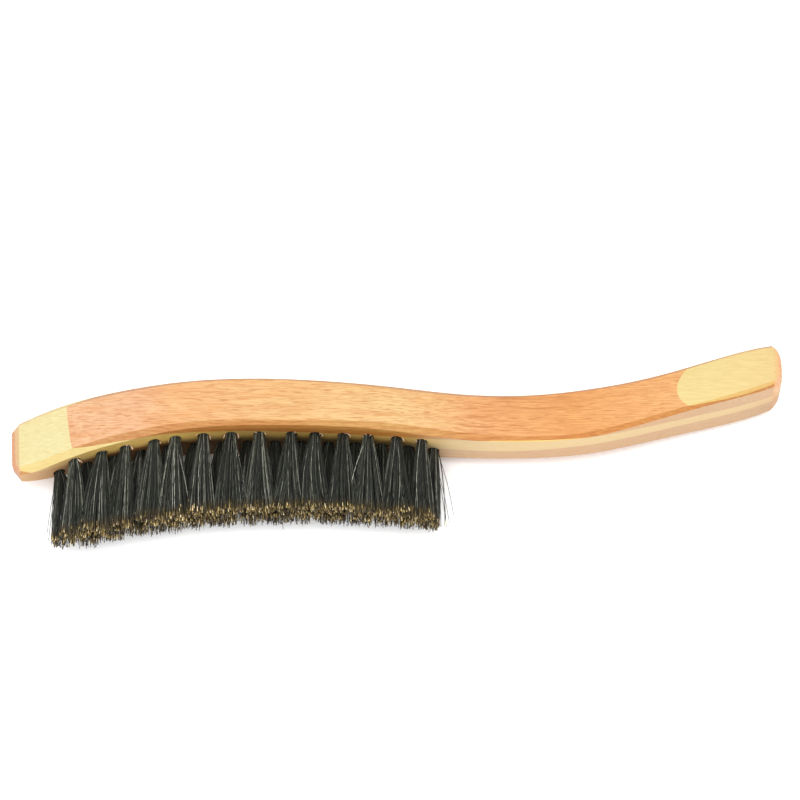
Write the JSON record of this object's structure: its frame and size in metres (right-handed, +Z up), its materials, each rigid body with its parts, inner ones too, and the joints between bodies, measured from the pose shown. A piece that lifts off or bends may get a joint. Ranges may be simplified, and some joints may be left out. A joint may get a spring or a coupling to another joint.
{
  "type": "wire brush",
  "caption": "Hand brush with a curved, chamfered handle of laminated wood and staggered rows of dark bristle tufts set in drilled holes.",
  "frame": {"origin": "centre of the footprint, on the surface that the brush lies on", "axes": "+X along the brush from the nose to the butt of the handle, tufts point to -Y, +Z up out of the side that faces up as the brush lies on its other side"},
  "size_m": [0.2622, 0.0708, 0.022],
  "materials": {
    "red_wood": "smooth sanded hardwood with a thin clear lacquer, orange-red",
    "cream_wood": "smooth sanded hardwood with a thin clear lacquer, pale yellow",
    "bristle": "dark charcoal filaments with bright golden-brown trimmed ends",
    "anchor_wire": "plain drawn wire"
  },
  "bodies": {
    "root": {"butt_cream_ply": "cream_wood", "upper_red_ply": "red_wood", "core_cream_ply": "cream_wood", "lower_red_ply": "red_wood", "upper_tuft_01": "bristle", "upper_tuft_02": "bristle", "upper_tuft_03": "bristle", "upper_tuft_04": "bristle", "upper_tuft_05": "bristle", "upper_tuft_06": "bristle", "upper_tuft_07": "bristle", "upper_tuft_08": "bristle", "upper_tuft_09": "bristle", "upper_tuft_10": "bristle", "upper_tuft_11": "bristle", "upper_tuft_12": "bristle", "upper_tuft_13": "bristle", "upper_tuft_14": "bristle", "lower_tuft_01": "bristle", "lower_tuft_02": "bristle", "lower_tuft_03": "bristle", "lower_tuft_04": "bristle", "lower_tuft_05": "bristle", "lower_tuft_06": "bristle", "lower_tuft_07": "bristle", "lower_tuft_08": "bristle", "lower_tuft_09": "bristle", "lower_tuft_10": "bristle", "lower_tuft_11": "bristle", "lower_tuft_12": "bristle", "lower_tuft_13": "bristle", "lower_tuft_14": "bristle", "lower_tuft_15": "bristle", "upper_row_anchors": "anchor_wire", "lower_row_anchors": "anchor_wire"}
  },
  "joints": []
}
